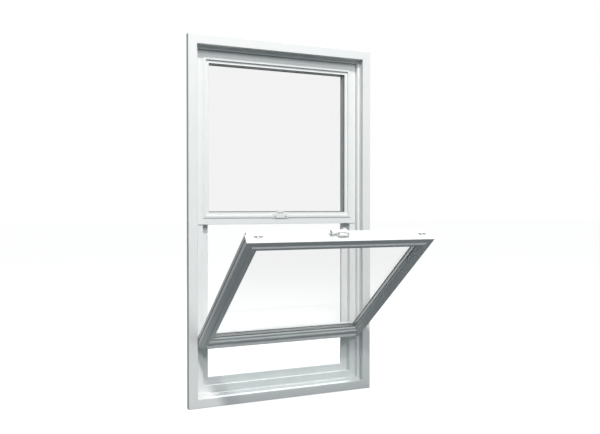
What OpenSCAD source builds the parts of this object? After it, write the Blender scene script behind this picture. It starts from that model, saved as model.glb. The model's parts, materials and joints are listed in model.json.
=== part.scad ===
// Single-hung tilt-in sash window with a welded vinyl frame.
// The upper sash is fixed. The lower sash slides in the jambs on two spiral
// balances and tilts into the room about two pivot bars near its bottom edge.
//
// Drawing frame, before everything is moved to the sill seat:
// X runs along the width from the window's middle, Y runs from the room-side
// face of the frame to the outside, Z runs up from the frame's lowest edge.
// Sections are drawn as [distance in from the outer edge, depth].

/* [Frame] */
// Width over the frame
frame_w = 762; // [600:1:1000]
// Height over the frame
frame_h = 1372; // [1372:1:1600]
// Width of the frame's front face
front_face = 34; // [34:1:34]
// Depth of the front flange
flange_depth = 24; // [24:1:24]
// Set-back of the frame's body behind the front flange
body_inset = 18; // [18:1:18]
// Depth of the whole frame
frame_depth = 83; // [83:1:90]
// Spacing of the two fixing holes in each jamb
hole_pitch = 1000; // [600:10:1000]

/* [Sashes] */
// Height of the lower sash
sash_h = 663; // [600:1:663]
// Gap between the lower sash and each jamb
side_gap = 4; // [4:0.5:5]
// Thickness of the lower sash
sash_t = 43; // [43:1:43]
// Extra height of the lower sash's bottom rail
rail_extra = 13.4; // [0:0.2:20]
// Distance from the frame's outer edge to the upper sash
upper_inset = 46.5; // [46:0.5:47]
// Thickness of each glass pane
pane_t = 3; // [3:0.1:3]

/* [Position] */
// Tilt of the lower sash into the room, from upright
tilt = 51.3; // [0:0.1:90]
// Lift of the lower sash above its closed height
lift = 179.2; // [0:0.1:590]

/* [Hardware] */
// Radius of the pivot pins
pin_r = 3; // [2.5:0.1:3]
// Radial play of the pivot pins in their shoes
pin_play = 0.05; // [0.02:0.01:0.1]
// Length of the lock's base
lock_len = 49; // [47:1:56]
// Reach of the lock lever's tail from the spindle
lever_reach = 56; // [50:1:60]

/* [Hidden] */
$fn = 64;

wall = 2.5;                          // thickness of the vinyl walls
fit = 0.1;                           // play between clipped pieces
far = 60;                            // past every face that a cutter leaves
step_2 = front_face + 10;            // second step of the frame's section
step_3 = 69;                         // track of the fixed sash
daylight = 95;                       // inner edge of the frame's section
reveal_1 = 28;                       // depth of the first riser
reveal_2 = 48;                       // depth of the second riser
reveal_3 = 72;                       // depth of the third riser
track_grooves = [54.5, 63];          // shallow grooves along the jambs' outer track
seat_y = (flange_depth + frame_depth) / 2;
seat_z = body_inset;

sash_w = frame_w - 2 * front_face - 2 * side_gap;
upper_w = frame_w - 2 * upper_inset;
upper_z = 675;
upper_h = frame_h - upper_inset - upper_z;
upper_y = 44.5;                      // depth of the upper sash's face
bead_at = 21.5;                      // where the glazing bead starts on a sash
pocket_at = 32;                      // floor of the glass rebate
glass_edge = 34;                     // edge of the glass
glass_v = 9.5;                       // depth of the inner pane's face
sight = 49.5;                        // edge of the outer glazing leg
spacer_in = 47.4;                    // inner edge of the spacer bar
spacer_out = 37;
upper_gap = 8.6;                     // space between the upper panes
lower_gap = 10.8;                    // space between the lower panes
lip_t = 31;                          // full-width part of the lower sash
rear_inset = 6.5;                    // set-back of its rear part at the sides

pivot_u = 18;                        // pivot above the sash's bottom edge
pivot_v = 20;                        // pivot behind the sash's face
pivot_y = 16;
closed_z = 46.5;                     // height of the closed sash's bottom edge
pivot_z = closed_z + pivot_u + lift;
swing_r = 11.5;                      // free swing in front of the second riser

slot_w = 6.6;                        // slot of the balance channel
channel = [8.5, 31, 9.5, 22.5];      // balance channel: in from, to, depth from, to
shoe_half = 15;
tube_u = 14;
tube_z = [681, 1304];
rod_len = 627;

lock_x = -8.5;                       // middle of the lock's base, across
lock_v = 27;                         // middle of the lock's base, from the sash's face
spindle_v = 32;
lock_h = 10.5;
cam_z = [6.9, 9.6];
cam_tip = 16.2;
cam_hook = 13;
cam_park = -70;                      // where the hook points when unlocked
keeper_w = 34;
keeper_z = [709.8, 727];
keeper_y = [39.6, 46.5];
wing_w = 60;

vinyl = [0.93, 0.93, 0.92];
steel = [0.66, 0.67, 0.69];
glass = [0.80, 0.88, 0.88, 0.35];
nylon = [0.82, 0.82, 0.80];
pile = [0.55, 0.56, 0.57];

// Points of an outline with its corners rounded by a parabola that leaves each
// side at the given distance from the corner.
function unit(v) = v / norm(v);
function soft(pts, ds) = [
  for (i = [0 : len(pts) - 1])
    let (n = len(pts), p = pts[i], d = ds[i],
         a = p + d * unit(pts[(i + n - 1) % n] - p),
         c = p + d * unit(pts[(i + 1) % n] - p))
    each d == 0 ? [p] : [for (t = [0 : 0.25 : 1]) (1 - t) * (1 - t) * a + 2 * t * (1 - t) * p + t * t * c]
];

module box(lo, hi) {
  translate(lo) cube(hi - lo);
}

// A rod along X from one end to the other
module rod_x(x0, x1, y, z, r) {
  translate([x0, y, z]) rotate([0, 90, 0]) cylinder(r = r, h = x1 - x0);
}

module rod_y(x, y0, y1, z, r) {
  translate([x, y0, z]) rotate([-90, 0, 0]) cylinder(r = r, h = y1 - y0);
}

// The section along one side of a rectangle w wide and h high, mitred at both ends
module side_piece(side, w, h) {
  reach = 2 * far;
  if (side == "left")
    intersection() {
      translate([-w / 2, 0, 0]) linear_extrude(height = h) children();
      translate([-w / 2, reach, 0]) rotate([90, 0, 0]) linear_extrude(height = 2 * reach)
        polygon([[0, 0], [reach, reach], [reach, h - reach], [0, h]]);
    }
  if (side == "right") mirror([1, 0, 0]) side_piece("left", w, h) children();
  if (side == "bottom")
    intersection() {
      translate([-w / 2, 0, 0]) mirror([0, 0, 1]) rotate([0, 90, 0]) linear_extrude(height = w) children();
      translate([-w / 2, reach, 0]) rotate([90, 0, 0]) linear_extrude(height = 2 * reach)
        polygon([[0, 0], [w, 0], [w - reach, reach], [reach, reach]]);
    }
  if (side == "top") translate([0, 0, h]) mirror([0, 0, 1]) side_piece("bottom", w, h) children();
}

// The part's origin is the middle of the sill's seat
module at_seat() {
  translate([0, -seat_y, -seat_z]) children();
}

module in_upper() {
  at_seat() translate([0, upper_y, upper_z]) children();
}

// The lower sash's own frame: X from its middle, Y from its face, Z from its bottom
module in_lower() {
  at_seat() translate([0, pivot_y, pivot_z]) rotate([tilt, 0, 0])
    translate([0, -pivot_v, -pivot_u]) children();
}

module in_shoe() {
  at_seat() translate([-frame_w / 2, pivot_y, pivot_z]) children();
}

module on_side(side) {
  if (side == "left") children();
  if (side == "right") mirror([1, 0, 0]) children();
}

// ---- frame ----

module frame_outline() {
  polygon(soft(
    [[0, 0], [0, flange_depth], [body_inset, flange_depth], [body_inset, frame_depth],
     [daylight, frame_depth], [daylight, reveal_3], [step_3, reveal_3],
     [step_3, reveal_2], [step_2, reveal_2], [step_2, reveal_1], [front_face, reveal_1], [front_face, 0]],
    [2, 1, 0, 1, 1, 1.5, 0, 1.5, 0, 1.5, 0, 2.2]));
}

module rect(u0, u1, v0, v1) {
  translate([u0, v0]) square([u1 - u0, v1 - v0]);
}

module frame_chambers() {
  rect(3, front_face - wall, 3, channel[2] - wall);
  polygon([[body_inset + wall, 25], [front_face - wall, 25], [front_face - wall, reveal_1 + wall],
           [step_2 - wall, reveal_1 + wall], [step_2 - wall, 46], [body_inset + wall, 46]]);
  rect(body_inset + wall, step_2 - 0.5, 48.5, frame_depth - wall);
  rect(step_2 + 2, step_3 - 4.5, 50.5, frame_depth - wall);
  rect(step_3 - 2, daylight - wall, reveal_3 + wall, frame_depth - wall);
}

module rail_section() {
  difference() {
    frame_outline();
    frame_chambers();
    rect(3, front_face - wall, channel[2], 21.5);
  }
}

// A jamb has the balance channel, open to the sash through a slot
module jamb_section() {
  difference() {
    frame_outline();
    frame_chambers();
    rect(2.8, channel[0] - wall, channel[2], 21.5);
    rect(channel[0], channel[1], channel[2], channel[3]);
    rect(channel[1] - 1, front_face + 1, pivot_y - slot_w / 2, pivot_y + slot_w / 2);
    for (v = track_grooves) rect(step_3 - 1.5, step_3 + 1, v, v + 2);
  }
}

hole_y = 38;
hole_r = 2.5;
cap_r = 6;
fixing_z = [for (k = [-1, 1]) frame_h / 2 + k * hole_pitch / 2];
sash_screw_z = [800, 1200];
sash_screw_y = 57;
balance_screw_z = 1298;

module jamb() {
  difference() {
    side_piece("left", frame_w, frame_h) jamb_section();
    translate([-frame_w / 2, 0, 0]) {
      for (z = fixing_z) {
        rod_x(body_inset - 1, body_inset + wall + 1, hole_y, z, hole_r);
        rod_x(step_2 - wall - 1, step_2 + 1, hole_y, z, cap_r);
      }
      for (z = sash_screw_z) rod_x(step_3 - 5, step_3 + 1, sash_screw_y, z, 1.8);
      rod_x(channel[0] - wall - 0.5, channel[0] + 1, pivot_y, balance_screw_z, 1.6);
    }
  }
}

module frame_head() {
  color(vinyl) at_seat() side_piece("top", frame_w, frame_h) rail_section();
}

module frame_sill() {
  color(vinyl) at_seat() side_piece("bottom", frame_w, frame_h) rail_section();
}

module frame_jamb(side) {
  color(vinyl) at_seat() on_side(side) jamb();
}

module hole_caps() {
  color(vinyl) at_seat()
    for (side = ["left", "right"]) on_side(side) translate([-frame_w / 2, 0, 0])
      for (z = fixing_z) {
        rod_x(step_2 - wall, step_2 - 0.2, hole_y, z, cap_r - 0.02);
        rod_x(step_2, step_2 + 0.4, hole_y, z, cap_r + 1.2);
        rod_x(step_2 - 0.2, step_2, hole_y, z, cap_r - 0.02);
      }
}

// ---- sashes ----

// Raised glazing bead: a rounded ridge, then a lower step down to the glass
module bead_section(extra = 0) {
  translate([extra, 0])
    polygon(soft(
      [[bead_at + fit, 0], [26, -3.2], [28, -3.4], [33.4, -3.4], [34, -2.8], [34, 3.4],
       [45.3, 2.8], [46, 3.6], [46, glass_v - 0.2], [pocket_at + fit, glass_v - 0.2],
       [pocket_at + fit, 1.2 - fit], [bead_at + fit, 1.2 - fit]],
      [0, 1.2, 0.5, 0.3, 0.3, 0, 0.3, 0.3, 0, 0, 0, 0]));
}

upper_back = glass_v + 2 * pane_t + upper_gap;
lower_back = glass_v + 2 * pane_t + lower_gap;

// The upper sash laps over the frame and its body stands in the outer track
module upper_section(lap = true) {
  base = lap ? step_3 - upper_inset + 0.6 : 0;
  back = upper_back + 0.2;
  difference() {
    polygon(soft(
      [[0, 0], [bead_at, 0], [bead_at, 1.2], [pocket_at, 1.2], [pocket_at, back], [sight, back],
       [sight, back + 3], [base, back + 3], [base, 3.2], [0, 3.2]],
      [1.2, 0.4, 0, 0, 0, 0.4, 0.8, 0, 0, 0]));
    if (lap) rect(base + 2.3, pocket_at - wall, 5.5, back + 0.5);
    else {
      rect(wall, pocket_at - wall, 3.7, 12);
      rect(wall, pocket_at - wall, 14, back + 0.5);
    }
  }
}

module lower_section(extra = 0, rear = rear_inset, groove = true) {
  back = lower_back + 0.2;
  e = extra;
  difference() {
    polygon(soft(
      [[0, 0], [bead_at + e, 0], [bead_at + e, 1.2], [pocket_at + e, 1.2], [pocket_at + e, back],
       [sight + e, back], [sight + e, back + 3], [33 + e, back + 3], [33 + e, sash_t], [rear, sash_t],
       [rear, lip_t], [0, lip_t]],
      [1.2, 0.4, 0, 0, 0, 0.4, 0.8, 0, 0.8, 1, 0, 0]));
    if (groove) rect(-1, 3, 14, 20);
    rect(wall, pocket_at + e - wall, 3.7, 11.5);
    rect(5.5, pocket_at + e - wall, 13.5, 28.5);
    rect(rear + wall, 33 + e - wall, 31, sash_t - wall);
  }
}

// The same section for a rail whose back runs out to the edge
module rail_lower_section(extra = 0) {
  back = lower_back + 0.2;
  e = extra;
  difference() {
    polygon(soft(
      [[0, 0], [bead_at + e, 0], [bead_at + e, 1.2], [pocket_at + e, 1.2], [pocket_at + e, back],
       [sight + e, back], [sight + e, back + 3], [33 + e, back + 3], [33 + e, sash_t], [0, sash_t]],
      [1, 0.4, 0, 0, 0, 0.4, 0.8, 0, 0.8, 3]));
    rect(12.5, pocket_at + e - wall, 3.7, 11.5);
    rect(12.5, pocket_at + e - wall, 13.5, 28.5);
    rect(12.5, 33 + e - wall, 31, sash_t - wall);
  }
}

screw_r = 1.8;
keeper_screw_x = 22;
keeper_screw_z = 704 - upper_z;

module keeper_holes() {
  for (k = [-1, 1]) rod_y(k * keeper_screw_x, -8, 8, keeper_screw_z, screw_r);
}

module upper_stile(side) {
  color(vinyl) in_upper() on_side(side)
    difference() {
      side_piece("left", upper_w, upper_h) upper_section();
      for (z = sash_screw_z) rod_x(-frame_w / 2 + step_3 - 1, -frame_w / 2 + step_3 + 5,
                                   sash_screw_y - upper_y, z - upper_z, screw_r);
    }
}

module upper_rail_top() {
  color(vinyl) in_upper() side_piece("top", upper_w, upper_h) upper_section();
}

// The check rail is a full box: it stands free between the jambs, so its ends
// are cut back to the frame's track
module upper_check_rail() {
  track = frame_w / 2 - step_3 - 0.6;
  color(vinyl) in_upper()
    difference() {
      side_piece("bottom", upper_w, upper_h) upper_section(lap = false);
      for (k = [-1, 1]) translate([k * (track + far), 0, 0]) box([-far, 3.2, -1], [far, far, far]);
      keeper_holes();
    }
}

module bead(side, w, h) {
  side_piece(side, w, h) bead_section();
}

module upper_bead(side) {
  color(vinyl) in_upper()
    difference() {
      bead(side, upper_w, upper_h);
      if (side == "bottom") keeper_holes();
    }
}

// A rectangle of thickness t, inset by a distance from a sash's edges
module sheet(w, h, inset, low_inset, v, t) {
  box([-w / 2 + inset, v, low_inset], [w / 2 - inset, v + t, h - inset]);
}

module upper_glass_inner() {
  color(glass) in_upper() sheet(upper_w, upper_h, glass_edge, glass_edge, glass_v, pane_t);
}

module upper_glass_outer() {
  color(glass) in_upper() sheet(upper_w, upper_h, glass_edge, glass_edge, glass_v + pane_t + upper_gap, pane_t);
}

module spacer(w, h, extra, gap) {
  difference() {
    sheet(w, h, spacer_out, spacer_out + extra, glass_v + pane_t, gap);
    sheet(w, h, spacer_in, spacer_in + extra, glass_v + pane_t - 1, gap + 2);
    difference() {
      sheet(w, h, spacer_out + 1.5, spacer_out + 1.5 + extra, glass_v + pane_t + 1.5, gap - 3);
      sheet(w, h, spacer_in - 1.5, spacer_in - 1.5 + extra, glass_v + pane_t, gap);
    }
  }
}

module upper_spacer() {
  color(steel) in_upper() spacer(upper_w, upper_h, 0, upper_gap);
}

module upper_sash_screws() {
  color(steel) at_seat()
    for (side = ["left", "right"]) on_side(side) translate([-frame_w / 2, 0, 0])
      for (z = sash_screw_z) {
        rod_x(step_3 - 4.5, step_3 + 4.5, sash_screw_y, z, screw_r);
        rod_x(step_3 - 7, step_3 - 4.5, sash_screw_y, z, 3.4);
      }
}

// ---- lock keeper on the check rail ----

module lock_keeper() {
  post = 2;                          // half width of the post that the hook grips
  color(vinyl) at_seat()
    difference() {
      union() {
        box([-keeper_w / 2, keeper_y[0], keeper_z[0]], [keeper_w / 2, keeper_y[1], keeper_z[1]]);
        box([-wing_w / 2, keeper_y[0], 699], [wing_w / 2, keeper_y[1], 714]);
      }
      difference() {
        box([-11.8, keeper_y[0] - 1, 716.2], [11.8, 45, 720]);
        box([-post, keeper_y[0] - 1, 716], [post, keeper_y[0] + 1.1, 720.2]);
      }
      translate([0, upper_y, upper_z]) {
        side_piece("bottom", upper_w, upper_h) offset_bead();
        keeper_holes();
        for (k = [-1, 1]) rod_y(k * keeper_screw_x, -6, keeper_y[0] - upper_y + 1, keeper_screw_z, 3.2);
      }
    }
}

// What the keeper is cut away for: the bead and the rail behind it
module offset_bead() {
  polygon([[-1, 0], [bead_at - 0.5, 0], [25.6, -3.35], [27.8, -3.6], [33.6, -3.6], [34.2, -2.9], [34.2, far], [-1, far]]);
}

module keeper_screws() {
  color(steel) in_upper()
    for (k = [-1, 1]) {
      rod_y(k * keeper_screw_x, keeper_y[0] - upper_y + 1, 6, keeper_screw_z, screw_r);
      rod_y(k * keeper_screw_x, keeper_y[0] - upper_y, keeper_y[0] - upper_y + 1, keeper_screw_z, 3.2);
    }
}

// ---- spiral balances ----

module balance_tube(side) {
  color(nylon) at_seat() on_side(side) translate([-frame_w / 2 + tube_u, pivot_y, 0])
    difference() {
      translate([0, 0, tube_z[0]]) cylinder(r = 4.8, h = tube_z[1] - tube_z[0]);
      translate([0, 0, tube_z[0] - 1]) cylinder(r = 3.4, h = tube_z[1] - tube_z[0] - 3);
      rod_x(-6, 6, 0, balance_screw_z, 1.6);
    }
}

module balance_screws() {
  color(steel) at_seat()
    for (side = ["left", "right"]) on_side(side) translate([-frame_w / 2, 0, 0]) {
      rod_x(channel[0] - wall, tube_u + 4.8, pivot_y, balance_screw_z, 1.6);
      rod_x(tube_u + 4.8, tube_u + 6.6, pivot_y, balance_screw_z, 3);
    }
}

module balance_shoe(side) {
  color(nylon) on_side_shoe(side)
    difference() {
      box([channel[0] + 0.4, -6.2, -shoe_half], [channel[1] - 0.4, 6.2, shoe_half]);
      rod_x(21.5, channel[1], 0, 0, pin_r + pin_play);
      translate([tube_u, 0, shoe_half - 8]) cylinder(r = 2.2, h = 10);
    }
}

module on_side_shoe(side) {
  if (side == "left") in_shoe() children();
  if (side == "right") mirror([1, 0, 0]) in_shoe() children();
}

module balance_rod(side) {
  color(steel) on_side_shoe(side)
    translate([tube_u, 0, shoe_half - 8]) cylinder(r = 2.2, h = rod_len - shoe_half + 8);
}

// ---- lower sash ----

latch = [20, 66, 13, 29];        // latch pocket: from the sash's end, to, depth from, to
latch_depth = 11;
bolt = [17, 23, 5, 9.4];             // bolt: depth from, to, below the top face from, to
thumb = [43, 22.2, 3.5];             // thumb button: middle, depth, radius

// What is cut out of the top corner for a latch, drawn at the left end
module latch_cut() {
  translate([-sash_w / 2, 0, sash_h]) {
    box([latch[0], latch[2], -latch_depth], [latch[1], latch[3], 1]);
    box([-1, bolt[0] - fit, -bolt[3] - fit], [latch[0] + 1, bolt[1] + fit, -bolt[2] + fit]);
  }
}

// What is cut from the bottom corner so that it swings clear of the frame
module swing_cut() {
  translate([-sash_w / 2, 0, 0]) {
    box([-1, -far, -1], [rear_inset, sash_t + 1, pivot_u - swing_r]);
    difference() {
      box([-1, pivot_v, -1], [rear_inset, sash_t + 1, pivot_u]);
      rod_x(-2, rear_inset + 1, pivot_v, pivot_u, swing_r);
    }
  }
}

module pivot_bore() {
  rod_x(-sash_w / 2 - 1, -sash_w / 2 + 41, pivot_v, pivot_u, pin_r);
}

module both_ends() {
  for (side = ["left", "right"]) on_side(side) children();
}

module lower_rail_top() {
  color(vinyl) in_lower()
    difference() {
      side_piece("top", sash_w, sash_h) rail_lower_section();
      both_ends() {
        latch_cut();
        translate([-sash_w / 2, 0, 0]) box([-1, lip_t, sash_h - far], [rear_inset, sash_t + 1, sash_h + 1]);
      }
      lock_screw_holes();
    }
}

// The bottom rail carries the lift that the sash is raised by
module lower_rail_bottom() {
  lift_top = 19.6;
  lift_end = 30;
  lift_reach = 10.4;
  color(vinyl) in_lower()
    difference() {
      union() {
        side_piece("bottom", sash_w, sash_h) rail_lower_section(rail_extra);
        translate([-sash_w / 2 + lift_end, 0, 0]) mirror([0, 0, 1]) rotate([0, 90, 0])
          linear_extrude(height = sash_w - 2 * lift_end)
            polygon(soft([[lift_top - 3.4, 0.5], [lift_top - 3.4, -7.4], [lift_top - 6, -7.4], [lift_top - 6, -lift_reach],
                          [lift_top, -lift_reach], [lift_top, 0.5]],
                         [0, 0.8, 0.6, 1, 1.6, 0]));
      }
      both_ends() {
        swing_cut();
        pivot_bore();
        translate([-sash_w / 2, 0, 0]) box([-1, lip_t, -1], [rear_inset, sash_t + 1, far]);
      }
    }
}

module lower_stile(side) {
  color(vinyl) in_lower() on_side(side)
    difference() {
      intersection() {
        side_piece("left", sash_w, sash_h) lower_section();
        box([-sash_w, -far, -1], [0, far, sash_h + 1]);
      }
      latch_cut();
      swing_cut();
      pivot_bore();
    }
}

// Beads of the lower sash: the bottom one stands higher on its taller rail
module lower_bead(side) {
  color(vinyl) in_lower() translate([0, 0, rail_extra]) bead(side, sash_w, sash_h - rail_extra);
}

module lower_glass_inner() {
  color(glass) in_lower() sheet(sash_w, sash_h, glass_edge, glass_edge + rail_extra, glass_v, pane_t);
}

module lower_glass_outer() {
  color(glass) in_lower()
    sheet(sash_w, sash_h, glass_edge, glass_edge + rail_extra, glass_v + pane_t + lower_gap, pane_t);
}

module lower_spacer() {
  color(steel) in_lower() spacer(sash_w, sash_h, rail_extra, lower_gap);
}

module pile_strip(side) {
  color(pile) in_lower() on_side(side) translate([-sash_w / 2, 0, 0]) {
    box([0.6, 14 + fit, 32], [3 - fit, 20 - fit, sash_h - 14]);
  }
}

// Two lengths, one on each side of the keeper
module check_pile_strip() {
  color(pile) in_lower()
    for (k = [0, 1]) mirror([k, 0, 0]) box([wing_w / 2 + 3, sash_t, sash_h - 26], [300, sash_t + 1.8, sash_h - 20]);
}

module sill_seal() {
  color(pile) in_lower() box([-sash_w / 2 + 12, 32, -2], [sash_w / 2 - 12, 38, 0]);
}

module pivot_bar(side) {
  color(steel) in_lower() on_side(side) translate([-sash_w / 2, 0, 0]) {
    rod_x(-side_gap - front_face + 22.5, 41, pivot_v, pivot_u, pin_r);
  }
}

module latch_housing(side) {
  plate = 0.4;
  bow_r = 19.5;                      // the finger recess is a bow with its curve to the room
  bow_v = 35.5;
  color(vinyl) in_lower() on_side(side) translate([-sash_w / 2, 0, sash_h])
    difference() {
      union() {
        box([latch[0] + fit, latch[2] + fit, fit - latch_depth], [latch[1] - fit, latch[3] - fit, plate]);
        box([latch[0] - 2, latch[2] - 2, 0], [latch[1] + 2, latch[3] + 2, plate]);
      }
      intersection() {
        translate([thumb[0], bow_v, -9.6]) cylinder(r = bow_r, h = 20);
        box([latch[0], 0, -9.6], [latch[1], 26, 2]);
      }
      box([latch[0] - 1, bolt[0] - fit, -bolt[3] - fit], [thumb[0], bolt[1] + fit, -bolt[2] + fit]);
    }
}

module latch_slide(side) {
  color(nylon) in_lower() on_side(side) translate([-sash_w / 2, 0, sash_h]) {
    box([0.5, bolt[0], -bolt[3]], [thumb[0], bolt[1], -bolt[2]]);
    translate([thumb[0], thumb[1], -bolt[3]]) cylinder(r = thumb[2], h = bolt[3] - 0.6);
  }
}

// ---- cam lock on the lower sash's top face ----

lock_screws_x = [lock_x - 17, lock_x + 17];
lock_screw_v = 21;

module lock_screw_holes() {
  for (x = lock_screws_x) translate([x, lock_screw_v, sash_h - 12]) cylinder(r = screw_r, h = 14);
}

module half_profile(r) {
  polygon(soft([[0, 0], [r, 0], [r, lock_h], [0, lock_h]], [0, 0, 3, 0]));
}

module lock_base() {
  r = 13;
  color(vinyl) in_lower()
    difference() {
      translate([lock_x, lock_v, sash_h]) {
        for (k = [-1, 1]) translate([k * (lock_len / 2 - r), 0, 0]) rotate_extrude() half_profile(r);
        translate([-lock_len / 2 + r, 0, 0]) rotate([90, 0, 90]) linear_extrude(height = lock_len - 2 * r) {
          half_profile(r);
          mirror([1, 0]) half_profile(r);
        }
      }
      translate([0, spindle_v, sash_h + 6.6]) cylinder(r = cam_tip + 0.4, h = 3.2);
      translate([0, spindle_v, sash_h + 6]) cylinder(r = 4 + pin_play, h = 10);
      for (x = lock_screws_x) translate([x, lock_screw_v, sash_h]) {
        translate([0, 0, -1]) cylinder(r = screw_r, h = 20);
        translate([0, 0, 2.5]) cylinder(r = 3.2, h = 20);
      }
    }
}

module lock_screws() {
  color(steel) in_lower()
    for (x = lock_screws_x) translate([x, lock_screw_v, sash_h]) {
      translate([0, 0, -11]) cylinder(r = screw_r, h = 13.5);
      translate([0, 0, 2.5]) cylinder(r = 3.2, h = 1.8);
    }
}

// A slice of the plane between two directions
module slice(a0, a1) {
  polygon([[0, 0], far * [cos(a0), sin(a0)], far * [cos((a0 + a1) / 2), sin((a0 + a1) / 2)], far * [cos(a1), sin(a1)]]);
}

module lock_cam() {
  color(steel) in_lower() translate([0, spindle_v, sash_h + cam_z[0]]) rotate([0, 0, cam_park])
    linear_extrude(height = cam_z[1] - cam_z[0])
      difference() {
        union() {
          circle(r = 8);
          intersection() {
            circle(r = cam_tip);
            slice(-48, -22);
          }
          difference() {
            intersection() {
              circle(r = cam_tip);
              slice(-48, 26);
            }
            circle(r = cam_hook);
          }
        }
        circle(r = 3.5);
      }
}

module lock_lever() {
  color(vinyl) in_lower() translate([0, spindle_v, sash_h]) {
    translate([0, 0, lock_h + 0.2]) cylinder(r = 9, h = 3.8);
    translate([0, 0, cam_z[0]]) cylinder(r = 3.5, h = cam_z[1] - cam_z[0] + 0.5);
    translate([0, 0, cam_z[1]]) cylinder(r = 4, h = lock_h + 1 - cam_z[1]);
    translate([0, 0, lock_h + 0.2]) linear_extrude(height = 3.2)
      polygon(soft([[0, -8], [0, 8], [-12, 5.5], [-30, -1], [-44, -1.5], [-lever_reach, 3],
                    [-lever_reach + 6, -5], [-lever_reach, -12.5], [-42, -9], [-24, -9.5]],
                   [0, 0, 3, 4, 3, 1, 2, 1, 3, 4]));
  }
}

frame_head();
frame_sill();
frame_jamb("left");  // frame_jamb_left
frame_jamb("right");  // frame_jamb_right
hole_caps();
upper_rail_top();
upper_check_rail();
upper_stile("left");  // upper_stile_left
upper_stile("right");  // upper_stile_right
upper_bead("top");  // upper_bead_top
upper_bead("bottom");  // upper_bead_bottom
upper_bead("left");  // upper_bead_left
upper_bead("right");  // upper_bead_right
upper_glass_inner();
upper_glass_outer();
upper_spacer();
upper_sash_screws();
lock_keeper();
keeper_screws();
balance_tube("left");  // balance_tube_left
balance_tube("right");  // balance_tube_right
balance_screws();
balance_shoe("left");  // balance_shoe_left
balance_shoe("right");  // balance_shoe_right
balance_rod("left");  // balance_rod_left
balance_rod("right");  // balance_rod_right
lower_rail_top();
lower_rail_bottom();
lower_stile("left");  // lower_stile_left
lower_stile("right");  // lower_stile_right
lower_bead("top");  // lower_bead_top
lower_bead("bottom");  // lower_bead_bottom
lower_bead("left");  // lower_bead_left
lower_bead("right");  // lower_bead_right
lower_glass_inner();
lower_glass_outer();
lower_spacer();
pile_strip("left");  // pile_strip_left
pile_strip("right");  // pile_strip_right
check_pile_strip();
sill_seal();
pivot_bar("left");  // pivot_bar_left
pivot_bar("right");  // pivot_bar_right
latch_housing("left");  // latch_housing_left
latch_housing("right");  // latch_housing_right
lock_base();
lock_screws();
latch_slide("left");  // latch_slide_left
latch_slide("right");  // latch_slide_right
lock_lever();
lock_cam();
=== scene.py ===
import json
import math

import bmesh
import bpy
import numpy as np
from mathutils import Euler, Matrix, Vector


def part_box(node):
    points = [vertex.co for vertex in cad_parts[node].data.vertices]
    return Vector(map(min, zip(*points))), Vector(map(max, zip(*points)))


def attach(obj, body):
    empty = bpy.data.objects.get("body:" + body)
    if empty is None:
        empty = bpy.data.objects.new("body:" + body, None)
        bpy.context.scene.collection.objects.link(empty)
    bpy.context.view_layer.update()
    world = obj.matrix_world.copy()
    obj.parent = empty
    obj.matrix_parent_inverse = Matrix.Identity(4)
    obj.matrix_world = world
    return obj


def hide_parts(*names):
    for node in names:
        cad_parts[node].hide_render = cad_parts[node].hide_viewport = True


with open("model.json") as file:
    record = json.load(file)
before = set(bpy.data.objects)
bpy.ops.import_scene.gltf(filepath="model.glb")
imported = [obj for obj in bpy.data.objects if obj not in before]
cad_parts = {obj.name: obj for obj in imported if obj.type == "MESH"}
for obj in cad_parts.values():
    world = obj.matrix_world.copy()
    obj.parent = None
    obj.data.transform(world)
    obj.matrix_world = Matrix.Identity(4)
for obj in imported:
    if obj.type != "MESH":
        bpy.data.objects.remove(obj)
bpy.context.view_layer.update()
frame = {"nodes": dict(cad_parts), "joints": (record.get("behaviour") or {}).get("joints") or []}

mm = 0.001
nodes = frame["nodes"]
joints = {j["name"]: j for j in frame["joints"]}

# The lower sash as the CAD sets it: its tilt from upright, and in mm its height and its pivot's place in it
sash = {"tilt": math.radians(51.3), "height": 663, "pivotUp": 18, "pivotBack": 20}
pivot = Vector(joints["sash_tilt"]["pos_m"])


# Sash mm (across, behind the face, up from the bottom edge) become scene metres, turned about the pivot:
# y is back times the tilt's cosine less up times its sine, and z is back times the sine plus up times the
# cosine.
def onSash(points):
    p = np.asarray(points, float)
    back, up = p[..., 1] - sash["pivotBack"], p[..., 2] - sash["pivotUp"]
    c, s = math.cos(sash["tilt"]), math.sin(sash["tilt"])
    return np.stack([p[..., 0] * mm + pivot.x, (back * c - up * s) * mm + pivot.y,
                     (back * s + up * c) * mm + pivot.z], axis=-1)


camera = {
    "place": (-1.0905, -2.5517, 0.7225),        # metres
    "yaw": 24.83, "pitch": -0.80,               # degrees to the right, and up
    "lens": 42.35, "sensor": 36,                # mm
}


def makeCamera():
    data = bpy.data.cameras.new("roomCamera")
    data.lens = camera["lens"]
    data.sensor_width = camera["sensor"]
    obj = bpy.data.objects.new("roomCamera", data)
    obj.location = camera["place"]
    obj.rotation_euler = Euler((math.radians(90 + camera["pitch"]), 0, -math.radians(camera["yaw"])))
    bpy.context.scene.collection.objects.link(obj)
    bpy.context.scene.camera = obj


lights = {
    # name: place, aimed at, width and height in metres, watts, colour
    "keyLight": ((-1.03, -3.0, 4.26), (0.0, 0.0, 0.7), (0.3, 0.3), 143, "#FFFDFA"),
    "sideFill": ((-4.0, 0.1, 0.9), (0.0, 0.0, 0.7), (0.3, 1.6), 5, "#FFFFFF"),
    "frontFill": ((0.3, -4.2, 3.3), (0.0, 0.0, 0.7), (1.6, 1.2), 96, "#F7F9FA"),
    "outsideFill": ((0.3, 1.9, 3.4), (0.0, 0.0, 0.3), (1.4, 1.4), 150, "#F6FAFC"),
}


# sRGB hex to linear: a value up to 0.04045 is divided by 12.92, and above it is raised to the power 2.4
def linear(hexColour):
    v = [int(hexColour[i:i + 2], 16) / 255 for i in (1, 3, 5)]
    return tuple(c / 12.92 if c <= 0.04045 else ((c + 0.055) / 1.055) ** 2.4 for c in v)


def rgba(hexColour):
    return (*linear(hexColour), 1.0)


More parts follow.
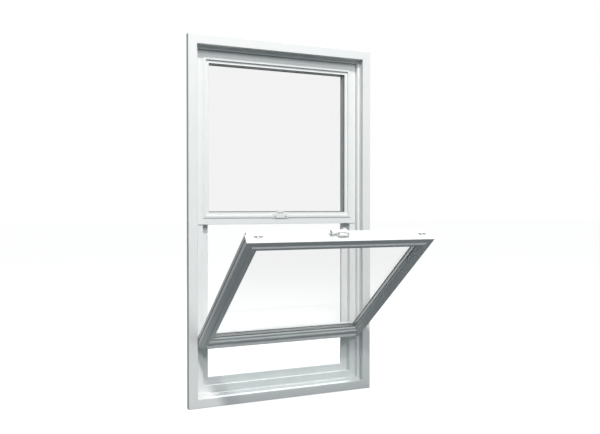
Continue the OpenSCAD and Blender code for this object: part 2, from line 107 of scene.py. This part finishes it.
def makeLights():
    for name, (place, target, size, watts, colour) in lights.items():
        data = bpy.data.lights.new(name, "AREA")
        data.shape, data.size, data.size_y = "RECTANGLE", size[0], size[1]
        data.energy, data.color = watts, linear(colour)
        obj = bpy.data.objects.new(name, data)
        obj.location = place
        obj.rotation_euler = (Vector(target) - Vector(place)).to_track_quat("-Z", "Y").to_euler()
        # the panes neither show nor mirror the lamps
        obj.visible_camera = obj.visible_transmission = obj.visible_glossy = False
        bpy.context.scene.collection.objects.link(obj)


def startMaterial(name):
    material = bpy.data.materials.new(name)
    material.use_nodes = True
    material.node_tree.nodes.clear()
    return material, material.node_tree


# Adds a node with its settings; each input is given a value, or a socket to link
def add(tree, kind, links=None, **settings):
    node = tree.nodes.new(kind)
    for key, value in settings.items():
        setattr(node, key, value)
    for key, value in (links or {}).items():
        if isinstance(value, bpy.types.NodeSocket):
            tree.links.new(value, node.inputs[key])
        else:
            node.inputs[key].default_value = value
    return node


def calculate(tree, operation, a, b=0.0, clamp=False):
    return add(tree, "ShaderNodeMath", {0: a, 1: b}, operation=operation, use_clamp=clamp).outputs[0]


# A blend of two colours by a factor; a Mix node's colours are its inputs 6 and 7 and its output 2
def blendColours(tree, factor, first, second):
    return add(tree, "ShaderNodeMix", {0: factor, 6: first, 7: second}, data_type="RGBA").outputs[2]


def noise(tree, coords, scale, detail):
    return add(tree, "ShaderNodeTexNoise", {"Vector": coords, "Scale": scale, "Detail": detail}).outputs[0]


def finishMaterial(tree, surface):
    add(tree, "ShaderNodeOutputMaterial", {"Surface": surface.outputs[0]})


# Extruded uPVC: a faint cloudiness, draw lines along the profile and a trimmed weld at each mitre
vinyl = {
    "white": "#F3F4F3", "shade": "#ECEEEE",     # the cloudiness blends these
    "cloud": 9.0, "cloudDetail": 3.0,           # its noise scale, per metre, and octaves
    "roughness": (0.29, 0.40), "ior": 1.53,     # roughness from the crest to the floor of a draw line
    "drawLine": 1.6, "drawDetail": 2.0,         # mm between draw lines, and octaves
    "drawStretch": 0.012,                       # their scale along the profile, as a share of that across
    "bump": 0.025, "bumpHeight": 0.2,           # strength, and height in mm
    "weld": 0.7, "weldColour": "#B9BDBD",       # width in mm
    "weldShade": 0.35, "weldDepth": 2.5,        # share of the colour, and depth in draw lines
}


# Distance to the edge of a rectangle: half its size less the distance from its middle, in metres
def insideEdge(tree, coordinate, half, middle):
    away = calculate(tree, "ABSOLUTE", calculate(tree, "SUBTRACT", coordinate, middle * mm))
    return calculate(tree, "SUBTRACT", half * mm, away)


# along is the axis the profile was drawn along. corners is the rectangle at whose corners the mitres are:
# half its width and height, then its middle's x and z, in mm. A weld is where the distances to two of its
# edges are equal.
def makeVinyl(name, along, corners, turned=False):
    material, tree = startMaterial(name)
    coords = add(tree, "ShaderNodeTexCoord").outputs["Object"]
    if turned:                                  # back to the upright sash, with the pivot at the origin
        moved = add(tree, "ShaderNodeVectorMath", {0: coords, 1: tuple(pivot)},
                    operation="SUBTRACT").outputs[0]
        coords = add(tree, "ShaderNodeVectorRotate",
                     {"Vector": moved, "Axis": (1, 0, 0), "Angle": -sash["tilt"]},
                     rotation_type="AXIS_ANGLE").outputs[0]
    across = 1 / (vinyl["drawLine"] * mm)
    down = across * vinyl["drawStretch"]
    stretch = {"x": (down, across, across), "z": (across, across, down)}[along]
    lines = add(tree, "ShaderNodeMapping", {"Vector": coords, "Scale": stretch}).outputs[0]
    drawn = noise(tree, lines, 1.0, vinyl["drawDetail"])
    cloud = noise(tree, coords, vinyl["cloud"], vinyl["cloudDetail"])
    clouded = blendColours(tree, cloud, rgba(vinyl["shade"]), rgba(vinyl["white"]))
    (halfX, halfZ), (middleX, middleZ) = corners
    axes = add(tree, "ShaderNodeSeparateXYZ", {0: coords}).outputs
    side = insideEdge(tree, axes[0], halfX, middleX)
    end = insideEdge(tree, axes[2], halfZ, middleZ)
    gap = calculate(tree, "ABSOLUTE", calculate(tree, "SUBTRACT", side, end))
    seam = calculate(tree, "SUBTRACT", 1.0, calculate(tree, "DIVIDE", gap, vinyl["weld"] * mm), clamp=True)
    shaded = calculate(tree, "MULTIPLY", seam, vinyl["weldShade"])
    colour = blendColours(tree, shaded, clouded, rgba(vinyl["weldColour"]))
    height = calculate(tree, "SUBTRACT", drawn, calculate(tree, "MULTIPLY", seam, vinyl["weldDepth"]))
    bump = add(tree, "ShaderNodeBump", {"Height": height, "Strength": vinyl["bump"],
                                        "Distance": vinyl["bumpHeight"] * mm}).outputs[0]
    smooth, rough = vinyl["roughness"]
    worn = add(tree, "ShaderNodeMapRange", {0: drawn, 3: smooth, 4: rough}).outputs[0]
    finishMaterial(tree, add(tree, "ShaderNodeBsdfPrincipled",
                             {"Base Color": colour, "Roughness": worn, "Normal": bump,
                              "IOR": vinyl["ior"]}))
    return material


# name: dark, light, grain in mm, roughness, bump height in mm, then what else the shader is given
finishes = {
    # moulded vinyl and nylon have a fine spark-eroded skin
    "mouldedVinyl": ("#EDEFEF", "#F4F5F4", 0.8, 0.36, 0.05, {"IOR": 1.53}),
    "mouldedNylon": ("#E2E3E1", "#ECECEA", 0.9, 0.45, 0.05, {"IOR": 1.53}),
    # steel under a bright zinc plate
    "zincPlatedSteel": ("#A9ACAE", "#C6C8CA", 1.2, 0.38, 0.05, {"Metallic": 1.0}),
    # the spacer bar is bare rolled aluminium
    "millAluminiumSpacer": ("#A7AAAB", "#BDBFC0", 1.5, 0.42, 0.05, {"Metallic": 1.0}),
    # dense polypropylene pile
    "wovenPile": ("#4B4E50", "#6C7072", 0.7, 0.9, 0.6, {"IOR": 1.5, "Sheen Weight": 0.4}),
    # a soft grey vinyl bulb
    "softVinylSeal": ("#B9BBBB", "#C9CBCA", 1.0, 0.6, 0.05, {"IOR": 1.5}),
}
skin = {
    "detail": 2.0, "bump": 0.3,                 # octaves of the grain, and the bump's strength
    "smoother": 0.04, "rougher": 0.06,          # roughness below and above the stated one
}


def makeFinish(name):
    dark, light, grain, roughness, bumpHeight, values = finishes[name]
    material, tree = startMaterial(name)
    coords = add(tree, "ShaderNodeTexCoord").outputs["Object"]
    grains = noise(tree, coords, 1 / (grain * mm), skin["detail"])
    colour = blendColours(tree, grains, rgba(dark), rgba(light))
    bump = add(tree, "ShaderNodeBump",
               {"Height": grains, "Strength": skin["bump"], "Distance": bumpHeight * mm}).outputs[0]
    rough = add(tree, "ShaderNodeMapRange",
                {0: grains, 3: roughness - skin["smoother"], 4: roughness + skin["rougher"]}).outputs[0]
    finishMaterial(tree, add(tree, "ShaderNodeBsdfPrincipled",
                             {"Base Color": colour, "Roughness": rough, "Normal": bump, **values}))
    return material


# Float glass with a coating against reflections, so its index is under the 1.52 of bare glass
glass = {"tint": "#F9F9F9", "ior": 1.15, "lampTint": "#E2E5E5"}


# It bends and mirrors for the eye. Lamps pass straight through, dimmed by lampTint at each face, so that it
# casts no black shadow.
def makeGlass():
    material, tree = startMaterial("coatedFloatGlass")
    clear = add(tree, "ShaderNodeBsdfPrincipled",
                {"Base Color": rgba(glass["tint"]), "Roughness": 0.0, "IOR": glass["ior"],
                 "Transmission Weight": 1.0})
    through = add(tree, "ShaderNodeBsdfTransparent", {"Color": rgba(glass["lampTint"])})
    path = add(tree, "ShaderNodeLightPath")
    lamp = calculate(tree, "MAXIMUM", path.outputs["Is Shadow Ray"], path.outputs["Is Diffuse Ray"])
    finishMaterial(tree, add(tree, "ShaderNodeMixShader",
                             {0: lamp, 1: clear.outputs[0], 2: through.outputs[0]}))
    return material


# Mitre rectangles in mm. The lower sash's are measured from its pivot, and its beads' rectangle is shorter
# because they stand on the taller bottom rail.
mitres = {
    "frame": ((381, 686), (0, 668)),
    "upperSash": ((334.5, 325.25), (0, 982.25)),
    "lowerSash": ((343, 331.5), (0, 313.5)),
    "lowerBead": ((343, 324.8), (0, 320.2)),
}

# What each CAD node is made of; Upright and Across are vinyl drawn along z and along x
made = {
    "frameUpright": "frame_jamb_left frame_jamb_right",
    "frameAcross": "frame_head frame_sill",
    "upperSashUpright": "upper_stile_left upper_stile_right upper_bead_left upper_bead_right",
    "upperSashAcross": "upper_rail_top upper_check_rail upper_bead_top upper_bead_bottom",
    "lowerSashUpright": "lower_stile_left lower_stile_right",
    "lowerSashAcross": "lower_rail_top lower_rail_bottom",
    "lowerBeadUpright": "lower_bead_left lower_bead_right",
    "lowerBeadAcross": "lower_bead_top lower_bead_bottom",
    "mouldedVinyl": "hole_caps lock_keeper latch_housing_left latch_housing_right lock_base lock_lever",
    "mouldedNylon": "balance_tube_left balance_tube_right balance_shoe_left balance_shoe_right"
                    " latch_slide_left latch_slide_right",
    "zincPlatedSteel": "upper_sash_screws keeper_screws balance_screws lock_screws lock_cam"
                       " pivot_bar_left pivot_bar_right balance_rod_left balance_rod_right",
    "millAluminiumSpacer": "upper_spacer lower_spacer",
    "wovenPile": "pile_strip_left pile_strip_right check_pile_strip",
    "softVinylSeal": "sill_seal",
    "coatedFloatGlass": "upper_glass_inner upper_glass_outer lower_glass_inner lower_glass_outer",
}


def makeMaterials():
    materials = {"coatedFloatGlass": makeGlass()}
    for part, corners in mitres.items():
        for way, along in (("Upright", "z"), ("Across", "x")):
            materials[part + way] = makeVinyl(f"{part}Vinyl{way}", along, corners, part.startswith("lower"))
    for name in finishes:
        materials[name] = makeFinish(name)
    for key, names in made.items():
        for name in names.split():
            if not nodes[name].material_slots:
                nodes[name].data.materials.append(materials[key])
            for slot in nodes[name].material_slots:
                slot.material = materials[key]
    return materials


stage = {
    "floorZ": -0.0185, "floorSize": 60,             # metres
    "seen": "#FFFFFF", "paint": "#6A6A6A",          # the floor's glow for the eye, and its paint under that
    "glow": 0.95,
    "bounced": "#5A5E60",                           # as it lights the window; dark, to keep undersides dark
    "sky": "#FFFFFF",                               # the surroundings for the eye
    "skyLight": "#DCE6EA", "skyStrength": 0.33,     # and as they light the window
}


# One for what the camera sees, straight or through glass, and nought for all other light
def seenDirectly(tree):
    path = add(tree, "ShaderNodeLightPath")
    return calculate(tree, "MAXIMUM", path.outputs["Is Camera Ray"], path.outputs["Is Transmission Ray"])


def makeFloor():
    half = stage["floorSize"] / 2
    mesh = bpy.data.meshes.new("paleFloor")
    corners = [(-half, -half), (half, -half), (half, half), (-half, half)]
    mesh.from_pydata([(x, y, stage["floorZ"]) for x, y in corners], [], [(0, 1, 2, 3)])
    floor = bpy.data.objects.new("paleFloor", mesh)
    bpy.context.scene.collection.objects.link(floor)
    material, tree = startMaterial("palePaintedFloor")
    paint = add(tree, "ShaderNodeBsdfDiffuse", {"Color": rgba(stage["paint"])})
    glow = add(tree, "ShaderNodeEmission", {"Color": rgba(stage["seen"]), "Strength": stage["glow"]})
    seen = add(tree, "ShaderNodeAddShader", {0: paint.outputs[0], 1: glow.outputs[0]})
    bounced = add(tree, "ShaderNodeBsdfDiffuse", {"Color": rgba(stage["bounced"])})
    finishMaterial(tree, add(tree, "ShaderNodeMixShader",
                             {0: seenDirectly(tree), 1: bounced.outputs[0], 2: seen.outputs[0]}))
    mesh.materials.append(material)


def makeSurroundings():
    bpy.context.scene.view_settings.view_transform = "Standard"
    world = bpy.data.worlds.new("paleRoom")
    bpy.context.scene.world = world
    world.use_nodes = True
    tree = world.node_tree
    tree.nodes.clear()
    seen = add(tree, "ShaderNodeBackground", {"Color": rgba(stage["sky"]), "Strength": 1.0})
    lighting = add(tree, "ShaderNodeBackground",
                   {"Color": rgba(stage["skyLight"]), "Strength": stage["skyStrength"]})
    both = add(tree, "ShaderNodeMixShader",
               {0: seenDirectly(tree), 1: lighting.outputs[0], 2: seen.outputs[0]})
    add(tree, "ShaderNodeOutputWorld", {"Surface": both.outputs[0]})


def linkPiece(name, mesh, material, body, smoothAngle):
    piece = bpy.data.objects.new(name, mesh)
    bpy.context.scene.collection.objects.link(piece)
    mesh.materials.append(material)
    mesh.polygons.foreach_set("use_smooth", np.ones(len(mesh.polygons), bool))
    mesh.set_sharp_from_angle(angle=math.radians(smoothAngle))
    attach(piece, body)
    return piece


weldDistance = 1e-6                             # metres


# A tube of rings, grid[ring, point]. Each ring closes on itself, and the first and last get a lid.
def gridMesh(name, grid):
    rings, count = grid.shape[:2]
    index = np.arange(rings * count).reshape(rings, count)
    following = np.roll(index, -1, axis=1)
    quads = np.stack([index[:-1], following[:-1], following[1:], index[1:]], axis=-1).reshape(-1, 4)
    lids = [index[0][::-1].tolist(), index[-1].tolist()]
    mesh = bpy.data.meshes.new(name)
    mesh.from_pydata(grid.reshape(-1, 3).tolist(), [], quads.tolist() + lids)
    build = bmesh.new()
    build.from_mesh(mesh)
    bmesh.ops.remove_doubles(build, verts=build.verts, dist=weldDistance)
    bmesh.ops.dissolve_degenerate(build, edges=build.edges, dist=weldDistance)
    bmesh.ops.recalc_face_normals(build, faces=build.faces)
    build.to_mesh(mesh)
    build.free()
    return mesh


# From nought at start to one a length later
def ramp(x, start, length):
    return np.clip((x - start) / length, 0, 1)


# Angles once round a ring, as a row
def turn(count):
    return np.linspace(0, 2 * np.pi, count + 1)[:-1][None, :]


# The lock's lever. All in mm but the powers; distances along it are from the spindle towards the tail.
lever = {
    "spindleBack": 32, "under": 10.7,           # behind the sash's face, and above its top
    "hub": 9.2, "reach": 56,                    # hub radius, spindle to tail tips
    "hubBlend": 9,                              # over which the hub becomes the arm
    "waist": 3.6, "neck": 2.6, "neckEnd": 22,   # half width, its gain at the spindle, and where that ends
    "flare": 4.2, "flareFrom": 34, "flareOver": 22, "flarePower": 1.8,
    "bend": 5.2, "bendOver": 34, "bendPower": 1.3,      # towards the room
    "back": 1.0, "tailFrom": 38, "tailOver": 18,        # and back again in the tail
    "notch": 7,                                 # depth of the fishtail
    "thick": 3.1, "dome": 1.0, "domeOver": 8,   # of the tail, and what the hub adds
    "tip": 0.5, "tipFrom": 40, "tipOver": 16,   # what the tail's end adds
    "softEnd": 0.8, "softShare": 0.15,          # over which the end is rounded, and how much it thins
    "sidePower": 0.75, "risePower": 0.6,        # of the section: under 1 is squarer than an ellipse
    "rings": 72, "points": 32, "smooth": 50,
}


# A sine or cosine raised to a power with its sign kept, which makes a superellipse
def squarer(wave, power):
    return np.sign(wave) * np.abs(wave) ** power


# Half width: the root of hub squared less x squared, blended into a waist that widens to the tail.
# Middle line: the bend's power curve less the tail's return. Height: the dome falls as e to minus
# (x over domeOver) squared. The tail's end is pulled in along its middle by the notch.
def makeLever(material):
    v = lever
    t = np.linspace(0, 1, v["rings"])[:, None]
    around = turn(v["points"])
    side = squarer(np.cos(around), v["sidePower"])
    rise = squarer(np.sin(around), v["risePower"])
    x = v["hub"] - (v["hub"] + v["reach"]) * (1 - np.cos(t * np.pi)) / 2
    hub = np.sqrt(np.clip(v["hub"] ** 2 - x ** 2, 0, None))
    flare = v["flare"] * ramp(-x, v["flareFrom"], v["flareOver"]) ** v["flarePower"]
    arm = v["waist"] + flare + v["neck"] * ramp(x, -v["neckEnd"], v["neckEnd"])
    blend = ramp(-x, 0, v["hubBlend"])
    width = hub * (1 - blend) + np.maximum(arm, hub) * blend
    intoTail = ramp(-x, v["tailFrom"], v["tailOver"])
    middle = v["back"] * intoTail - v["bend"] * ramp(-x, 0, v["bendOver"]) ** v["bendPower"]
    height = (v["thick"] + v["dome"] * np.exp(-(x / v["domeOver"]) ** 2)
              + v["tip"] * ramp(-x, v["tipFrom"], v["tipOver"]) ** 2)
    across = x + v["notch"] * intoTail ** 2 * (1 - side ** 2)
    softened = 1 - v["softShare"] + v["softShare"] * ramp(x, -v["reach"], v["softEnd"]) ** 0.5
    up = sash["height"] + v["under"] + height / 2 + rise * height / 2 * softened
    back = v["spindleBack"] + middle + side * width
    grid = onSash(np.stack([across, back, up + 0 * across], axis=-1))
    mesh = gridMesh("leverSmooth", grid)
    piece = linkPiece("leverSmooth", mesh, material, "lock_turn", v["smooth"])
    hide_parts("lock_lever")


# Pan heads with a cross recess, in mm
screw = {
    "crossWidth": 1.1, "crossReach": 2.2, "crossDepth": 1.1,
    "crossEnd": 0.5,                            # over which an arm's end fades
    "crossFill": 1.4,                           # over 1 gives the arm a flat floor
    "foot": 0.6,                                # how far a head runs on below its seat
    "crown": 1.02,                              # over 1 gives the rim a small upright edge
    "rings": 26, "points": 64, "smooth": 40,
}
lockScrew = {"across": (-25.5, 8.5), "back": 21, "up": 3.2, "radius": 3.1, "height": 1.1}
keeperScrew = {"across": (-22, 22), "flatten": 0.2, "sunk": 0.3, "radius": 3.15, "height": 1.4}


# Height: the head's height times the root of crown less (r over radius) squared, less the cross. Each of
# its arms is crossWidth wide and fades at crossReach.
def crossHead(name, place, look):
    v = screw
    r = np.linspace(1, 0, v["rings"])[:, None] * look["radius"]
    around = turn(v["points"])
    x, y = r * np.cos(around), r * np.sin(around)

    def arm(across, along):
        halfWidth = v["crossWidth"] / 2
        return (ramp(v["crossFill"] * halfWidth - np.abs(across), 0, halfWidth)
                * ramp(v["crossReach"] - np.abs(along), 0, v["crossEnd"]))

    z = look["height"] * np.sqrt(np.clip(v["crown"] - (r / look["radius"]) ** 2, 0, 1))
    z = z - v["crossDepth"] * np.maximum(arm(x, y), arm(y, x))
    foot = np.stack([x[:1], y[:1], -v["foot"] + 0 * x[:1]], axis=-1)
    return gridMesh(name, place(np.concatenate([foot, np.stack([x, y, z], axis=-1)], axis=0)))


# place(points, across) carries a head's own mm to the scene's metres. The first head of a pair stands in
# for the CAD node that holds both.
def makeHeads(prefix, look, place, material, body, node):
    for k, across in enumerate(look["across"]):
        name = f"{prefix}{k}"
        mesh = crossHead(name, lambda points: place(points, across), look)
        piece = linkPiece(name, mesh, material, body, screw["smooth"])
        if k == 0:
            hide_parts(node)


def makeScrews(material):
    def ontoLock(p, across):
        return onSash(p + np.array([across, lockScrew["back"], sash["height"] + lockScrew["up"]]))

    low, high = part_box("keeper_screws")

    def ontoKeeper(p, across):
        back = low[1] + (keeperScrew["sunk"] - p[..., 2] * keeperScrew["flatten"]) * mm
        return np.stack([(p[..., 0] + across) * mm, back, p[..., 1] * mm + (low[2] + high[2]) / 2], axis=-1)

    makeHeads("lockScrewHead", lockScrew, ontoLock, material, "lower_sash", "lock_screws")
    makeHeads("keeperScrewHead", keeperScrew, ontoKeeper, material, "frame", "keeper_screws")


makeCamera()
makeLights()
makeFloor()
makeSurroundings()
print("camera, lights and floor are made")
materials = makeMaterials()
print("materials are made")
makeLever(materials["mouldedVinyl"])
makeScrews(materials["zincPlatedSteel"])
print("lever and screw heads are made")
